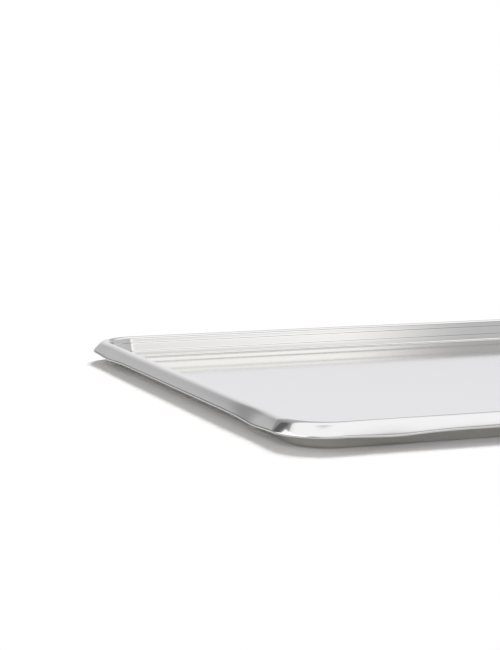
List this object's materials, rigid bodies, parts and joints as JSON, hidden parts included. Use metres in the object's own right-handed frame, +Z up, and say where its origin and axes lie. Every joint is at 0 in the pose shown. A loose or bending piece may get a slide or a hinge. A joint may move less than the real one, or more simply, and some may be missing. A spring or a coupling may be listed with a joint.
{
  "type": "pastry tray",
  "caption": "Shallow rectangular pressed steel tray with round corners, ledged inner walls and a rim that slopes down to a free edge.",
  "frame": {"origin": "middle of the flat underside that the tray rests on", "axes": "+X along the long sides, +Y along the short sides, +Z up"},
  "size_m": [0.4, 0.3, 0.0117],
  "materials": {
    "stainless_steel": "polished stainless sheet with a fine satin"
  },
  "bodies": {
    "root": {"tray_body": "stainless_steel"}
  },
  "joints": []
}
